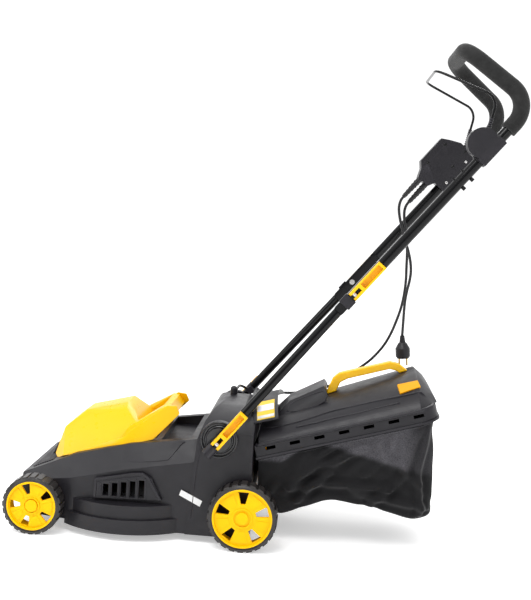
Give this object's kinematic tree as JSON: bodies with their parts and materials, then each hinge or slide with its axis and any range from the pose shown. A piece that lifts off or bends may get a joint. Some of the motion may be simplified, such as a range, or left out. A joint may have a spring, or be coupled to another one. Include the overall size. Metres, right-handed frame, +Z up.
{
  "type": "rotary lawn mower",
  "caption": "Corded electric rotary lawn mower with a folding tube handle, a bail switch, four plastic wheels and a removable rear grass box.",
  "frame": {"origin": "on the ground, under the middle of the object's box", "axes": "+X to the front, +Y to the mower's left, +Z up"},
  "size_m": [1.1318, 0.477, 1.1812],
  "materials": {
    "black_paint": "glossy black powder coat",
    "black_plastic": "satin, slightly grained",
    "brass": "nickel-plated brass",
    "copper_and_iron": "laminated core with copper windings",
    "cord_sheath": "satin rubber sheath",
    "foam": "soft matte foam",
    "label": "printed label without text",
    "mesh_fabric": "fine open mesh",
    "steel": "bright zinc plate",
    "tyre": "hard plastic tread, satin",
    "yellow_plastic": "glossy moulded plastic"
  },
  "bodies": {
    "deck": {"deck_shell": "black_plastic", "rear_housing": "black_plastic", "motor_cover": "yellow_plastic", "motor_can": "steel", "stator_core": "copper_and_iron", "motor_bearings": "steel", "motor_bolts": "steel", "front_axle": "steel", "rear_axle": "steel", "axle_washers": "steel", "motor_cord_lower": "cord_sheath", "flap_pin": "steel", "flap_springs": "steel"},
    "rotor": {"rotor_core": "copper_and_iron", "motor_shaft": "steel", "blade_hub": "black_plastic", "blade": "steel", "blade_bolt": "steel"},
    "front_left_wheel": {"front_left_rim": "yellow_plastic", "front_left_tyre": "tyre"},
    "front_right_wheel": {"front_right_rim": "yellow_plastic", "front_right_tyre": "tyre"},
    "rear_left_wheel": {"rear_left_rim": "yellow_plastic", "rear_left_tyre": "tyre"},
    "rear_right_wheel": {"rear_right_rim": "yellow_plastic", "rear_right_tyre": "tyre"},
    "lower_handle": {"lower_tube_left": "black_paint", "lower_tube_right": "black_paint", "lower_end_caps": "black_plastic", "lower_pivot_bolts": "steel", "lower_lever_pins": "steel", "tube_clip": "black_plastic", "motor_cord_upper": "cord_sheath"},
    "lower_left_lever": {"lower_lever_left": "yellow_plastic"},
    "lower_right_lever": {"lower_lever_right": "yellow_plastic"},
    "upper_handle": {"upper_tube": "black_paint", "upper_end_caps": "black_plastic", "upper_pivot_bolts": "steel", "upper_lever_pins": "steel", "foam_grip": "foam", "bail_bracket": "black_plastic", "handle_screws": "steel", "switch_box_inner": "black_plastic", "switch_box_outer": "black_plastic", "switch_unit": "black_plastic", "cable_boots": "cord_sheath", "power_cord": "cord_sheath", "plug_body": "black_plastic", "plug_pins": "brass"},
    "upper_left_lever": {"upper_lever_left": "yellow_plastic"},
    "upper_right_lever": {"upper_lever_right": "yellow_plastic"},
    "bail": {"bail_wire": "black_paint"},
    "lock_button": {"lock_off_button": "yellow_plastic"},
    "flap": {"discharge_flap": "black_plastic", "warning_label": "label"},
    "grass_box": {"box_lid": "black_plastic", "box_frame": "black_plastic", "grass_bag": "mesh_fabric", "box_handle": "yellow_plastic"}
  },
  "joints": [
    {"name": "front_left_wheel_spin", "type": "hinge", "parent": "deck", "child": "front_left_wheel", "pos_m": [0.4976, 0.1995, 0.0685], "axis": [0, 1, 0], "continuous": true},
    {"name": "front_right_wheel_spin", "type": "hinge", "parent": "deck", "child": "front_right_wheel", "pos_m": [0.4976, -0.1995, 0.0685], "axis": [0, 1, 0], "continuous": true},
    {"name": "rear_left_wheel_spin", "type": "hinge", "parent": "deck", "child": "rear_left_wheel", "pos_m": [0.0076, 0.206, 0.08], "axis": [0, 1, 0], "continuous": true},
    {"name": "rear_right_wheel_spin", "type": "hinge", "parent": "deck", "child": "rear_right_wheel", "pos_m": [0.0076, -0.206, 0.08], "axis": [0, 1, 0], "continuous": true},
    {"name": "blade_spin", "type": "hinge", "parent": "deck", "child": "rotor", "pos_m": [0.2926, 0, 0.045], "axis": [0, 0, 1], "continuous": true},
    {"name": "lower_handle_fold", "type": "hinge", "parent": "deck", "child": "lower_handle", "pos_m": [0.0736, 0, 0.25], "axis": [0, 1, 0], "range_deg": [0, 110]},
    {"name": "upper_handle_fold", "type": "hinge", "parent": "lower_handle", "child": "upper_handle", "pos_m": [-0.21274, 0, 0.6036], "axis": [0, -1, 0], "range_deg": [0, 80]},
    {"name": "lower_left_lever_turn", "type": "hinge", "parent": "lower_handle", "child": "lower_left_lever", "pos_m": [0.0736, 0.2295, 0.25], "axis": [-0.7771, 0, -0.6293], "range_deg": [0, 120]},
    {"name": "lower_right_lever_turn", "type": "hinge", "parent": "lower_handle", "child": "lower_right_lever", "pos_m": [0.0736, -0.2295, 0.25], "axis": [0.7771, 0, 0.6293], "range_deg": [0, 120]},
    {"name": "upper_left_lever_turn", "type": "hinge", "parent": "upper_handle", "child": "upper_left_lever", "pos_m": [-0.21274, 0.1812, 0.6036], "axis": [-0.7771, 0, -0.6293], "range_deg": [0, 120]},
    {"name": "upper_right_lever_turn", "type": "hinge", "parent": "upper_handle", "child": "upper_right_lever", "pos_m": [-0.21274, -0.1812, 0.6036], "axis": [0.7771, 0, 0.6293], "range_deg": [0, 120]},
    {"name": "bail_squeeze", "type": "hinge", "parent": "upper_handle", "child": "bail", "pos_m": [-0.4728, 0, 0.95017], "axis": [0, -1, 0], "range_deg": [0, 16], "stiffness_Nm_per_rad": 0.5, "springref_deg": -17.19},
    {"name": "lock_button_press", "type": "slide", "parent": "upper_handle", "child": "lock_button", "axis": [0, 1, 0], "range_m": [0, 0.004], "stiffness_N_per_m": 400, "springref_m": -0.002},
    {"name": "flap_lift", "type": "hinge", "parent": "deck", "child": "flap", "pos_m": [0.0136, 0, 0.309], "axis": [0, 1, 0], "range_deg": [0, 75]},
    {"name": "grass_box_pull", "type": "slide", "parent": "deck", "child": "grass_box", "axis": [-1, 0, 0], "range_m": [0, 0.12]}
  ]
}
